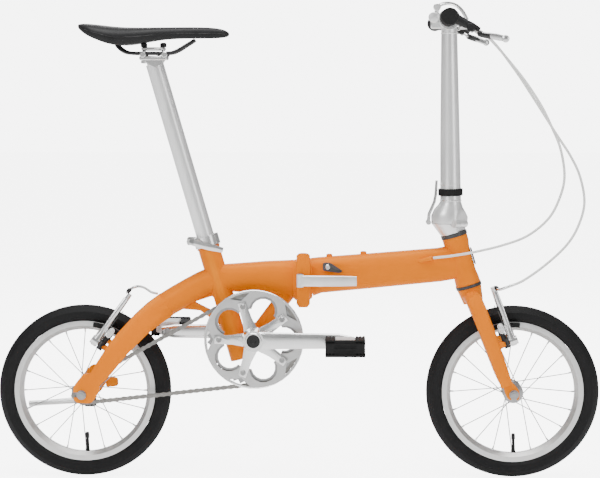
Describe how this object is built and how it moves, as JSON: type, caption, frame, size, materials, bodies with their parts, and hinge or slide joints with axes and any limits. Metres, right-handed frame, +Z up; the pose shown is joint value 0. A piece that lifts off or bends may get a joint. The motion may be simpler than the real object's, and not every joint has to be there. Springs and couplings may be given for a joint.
{
  "type": "folding bicycle",
  "caption": "Small-wheeled folding bicycle: curved frame with a central hinge, folding handlepost, sliding seatpost, single-speed chain drive, rim brakes and folding pedals.",
  "frame": {"origin": "on the ground, midway between the two axles, in the centre plane of the wheels", "axes": "+X forward, +Y to the left of the rider, +Z up"},
  "size_m": [1.1308, 0.5692, 0.8922],
  "materials": {
    "frame_paint": "satin",
    "silver": "polished",
    "steel": "satin",
    "black_metal": "satin",
    "black_plastic": "matte",
    "rubber": "matte",
    "tyre": "matte",
    "cable": "gloss",
    "saddle_cover": "matte"
  },
  "bodies": {
    "rear_frame": {"rear_frame": "frame_paint", "seat_collar": "silver", "chain": "steel", "rear_axle": "steel", "rear_cable_tail": "cable", "rear_magnet": "frame_paint", "stand_mount": "black_metal"},
    "front_frame": {"front_frame": "frame_paint", "head_badge": "black_metal"},
    "fork": {"fork": "frame_paint", "headset_lower": "black_metal", "headset_upper": "black_metal", "stem_base": "silver", "front_axle": "steel", "front_magnet": "steel", "front_cable": "cable", "rear_cable": "cable"},
    "handlepost": {"handlepost": "silver", "post_band": "rubber"},
    "post_latch": {"post_latch": "silver"},
    "bar_lever": {"bar_lever": "silver"},
    "handlebar": {"handlebar": "silver", "grip_left": "rubber", "grip_right": "rubber", "brake_mount_left": "black_plastic", "brake_mount_right": "black_plastic"},
    "brake_lever_left": {"brake_lever_left": "silver"},
    "brake_lever_right": {"brake_lever_right": "silver"},
    "front_wheel": {"front_tyre": "tyre", "front_rim": "silver", "front_hub": "steel"},
    "rear_wheel": {"rear_tyre": "tyre", "rear_rim": "silver", "rear_hub": "steel"},
    "rear_cog": {"rear_cog": "steel"},
    "crank": {"crank_right": "silver", "crank_left": "silver", "chainring": "steel", "chain_guard": "silver"},
    "seat": {"seatpost": "silver", "seat_clamp": "silver", "saddle": "saddle_cover", "saddle_rails": "black_metal"},
    "seat_lever": {"seat_lever": "silver"},
    "frame_latch": {"frame_latch": "silver"},
    "frame_catch": {"frame_catch": "black_plastic"},
    "kickstand": {"kickstand": "steel"},
    "pedal_hub_left": {"pedal_hub_left": "steel"},
    "pedal_left": {"pedal_left": "rubber"},
    "front_brake_left": {"front_arm_left": "silver", "front_pad_left": "rubber"},
    "rear_brake_left": {"rear_arm_left": "silver", "rear_pad_left": "rubber"},
    "pedal_hub_right": {"pedal_hub_right": "steel"},
    "pedal_right": {"pedal_right": "rubber"},
    "front_brake_right": {"front_arm_right": "silver", "front_pad_right": "rubber"},
    "rear_brake_right": {"rear_arm_right": "silver", "rear_pad_right": "rubber"}
  },
  "joints": [
    {"name": "frame_fold", "type": "hinge", "parent": "rear_frame", "child": "front_frame", "pos_m": [0.008, 0.035, 0.37], "axis": [0, 0, 1], "range_deg": [0, 163]},
    {"name": "steering", "type": "hinge", "parent": "front_frame", "child": "fork", "pos_m": [0.3189, 0, 0.365], "axis": [-0.2807, 0, 0.9598], "range_deg": [-45, 45], "deforming": ["rear_cable"]},
    {"name": "handlepost_fold", "type": "hinge", "parent": "fork", "child": "handlepost", "pos_m": [0.301, -0.018, 0.48], "axis": [0.7071, 0.7071, 0], "range_deg": [0, 155], "deforming": ["front_cable"]},
    {"name": "handlebar_turn", "type": "hinge", "parent": "handlepost", "child": "handlebar", "pos_m": [0.28, 0, 0.86], "axis": [0, 1, 0], "range_deg": [-20, 20]},
    {"name": "post_latch_turn", "type": "hinge", "parent": "handlepost", "child": "post_latch", "pos_m": [0.2436, 0, 0.482], "axis": [0, -1, 0], "range_deg": [0, 100]},
    {"name": "bar_lever_turn", "type": "hinge", "parent": "handlepost", "child": "bar_lever", "pos_m": [0.257, -0.006, 0.882], "axis": [0, -1, 0], "range_deg": [0, 100]},
    {"name": "brake_lever_turn_right", "type": "hinge", "parent": "handlebar", "child": "brake_lever_right", "pos_m": [0.313, -0.15, 0.84], "axis": [0, 0, -1], "range_deg": [0, 22], "stiffness_Nm_per_rad": 0.5},
    {"name": "brake_lever_turn_left", "type": "hinge", "parent": "handlebar", "child": "brake_lever_left", "pos_m": [0.313, 0.15, 0.84], "axis": [0, 0, 1], "range_deg": [0, 22], "stiffness_Nm_per_rad": 0.5},
    {"name": "front_brake_turn_right", "type": "hinge", "parent": "fork", "child": "front_brake_right", "pos_m": [0.39461, -0.04, 0.2616], "axis": [-0.9404, 0, -0.3401], "range_deg": [0, 2.9]},
    {"name": "front_brake_turn_left", "type": "hinge", "parent": "fork", "child": "front_brake_left", "pos_m": [0.39461, 0.04, 0.2616], "axis": [0.9404, 0, 0.3401], "range_deg": [0, 2.9]},
    {"name": "rear_brake_turn_right", "type": "hinge", "parent": "rear_frame", "child": "rear_brake_right", "pos_m": [-0.37352, -0.04, 0.25729], "axis": [-0.8131, 0, 0.5822], "range_deg": [0, 2.9]},
    {"name": "rear_brake_turn_left", "type": "hinge", "parent": "rear_frame", "child": "rear_brake_left", "pos_m": [-0.37352, 0.04, 0.25729], "axis": [0.8131, 0, -0.5822], "range_deg": [0, 2.9]},
    {"name": "front_wheel_spin", "type": "hinge", "parent": "fork", "child": "front_wheel", "pos_m": [0.403, 0, 0.1625], "axis": [0, 1, 0], "continuous": true},
    {"name": "rear_wheel_spin", "type": "hinge", "parent": "rear_frame", "child": "rear_wheel", "pos_m": [-0.403, 0, 0.1625], "axis": [0, 1, 0], "continuous": true},
    {"name": "crank_spin", "type": "hinge", "parent": "rear_frame", "child": "crank", "pos_m": [-0.082, 0, 0.266], "axis": [0, 1, 0], "continuous": true},
    {"name": "cog_spin", "type": "hinge", "parent": "rear_frame", "child": "rear_cog", "pos_m": [-0.403, 0, 0.1625], "axis": [0, 1, 0], "continuous": true},
    {"name": "pedal_spin_right", "type": "hinge", "parent": "crank", "child": "pedal_hub_right", "pos_m": [0.088, -0.08, 0.266], "axis": [0, 1, 0], "continuous": true},
    {"name": "pedal_fold_right", "type": "hinge", "parent": "pedal_hub_right", "child": "pedal_right", "pos_m": [0.088, -0.091, 0.266], "axis": [-1, 0, 0], "range_deg": [0, 90]},
    {"name": "pedal_spin_left", "type": "hinge", "parent": "crank", "child": "pedal_hub_left", "pos_m": [-0.252, 0.08, 0.266], "axis": [0, 1, 0], "continuous": true},
    {"name": "pedal_fold_left", "type": "hinge", "parent": "pedal_hub_left", "child": "pedal_left", "pos_m": [-0.252, 0.091, 0.266], "axis": [1, 0, 0], "range_deg": [0, 90]},
    {"name": "seat_slide", "type": "slide", "parent": "rear_frame", "child": "seat", "axis": [0.279, 0, -0.9603], "range_m": [0, 0.25]},
    {"name": "seat_lever_turn", "type": "hinge", "parent": "rear_frame", "child": "seat_lever", "pos_m": [-0.204, -0.015, 0.446], "axis": [0, 0, -1], "range_deg": [0, 150]},
    {"name": "frame_latch_turn", "type": "hinge", "parent": "front_frame", "child": "frame_latch", "pos_m": [0.004, -0.049, 0.376], "axis": [0, 0, -1], "range_deg": [0, 150]},
    {"name": "frame_catch_turn", "type": "hinge", "parent": "front_frame", "child": "frame_catch", "pos_m": [0.055, -0.028, 0.4], "axis": [0, -1, 0], "range_deg": [0, 70]},
    {"name": "kickstand_turn", "type": "hinge", "parent": "rear_frame", "child": "kickstand", "pos_m": [-0.404, 0.084, 0.131], "axis": [0, -1, 0], "range_deg": [0, 100]}
  ],
  "couplings": [
    {"joint": "cog_spin", "follows": "crank_spin", "ratio": 4.6667},
    {"joint": "front_brake_turn_left", "follows": "brake_lever_turn_right", "ratio": 0.13},
    {"joint": "front_brake_turn_right", "follows": "brake_lever_turn_right", "ratio": 0.13},
    {"joint": "rear_brake_turn_left", "follows": "brake_lever_turn_left", "ratio": 0.13},
    {"joint": "rear_brake_turn_right", "follows": "brake_lever_turn_left", "ratio": 0.13},
    {"joint": "handlepost_fold", "follows": "frame_fold", "ratio": 0.95},
    {"joint": "pedal_fold_left", "follows": "frame_fold", "ratio": 0.55}
  ]
}
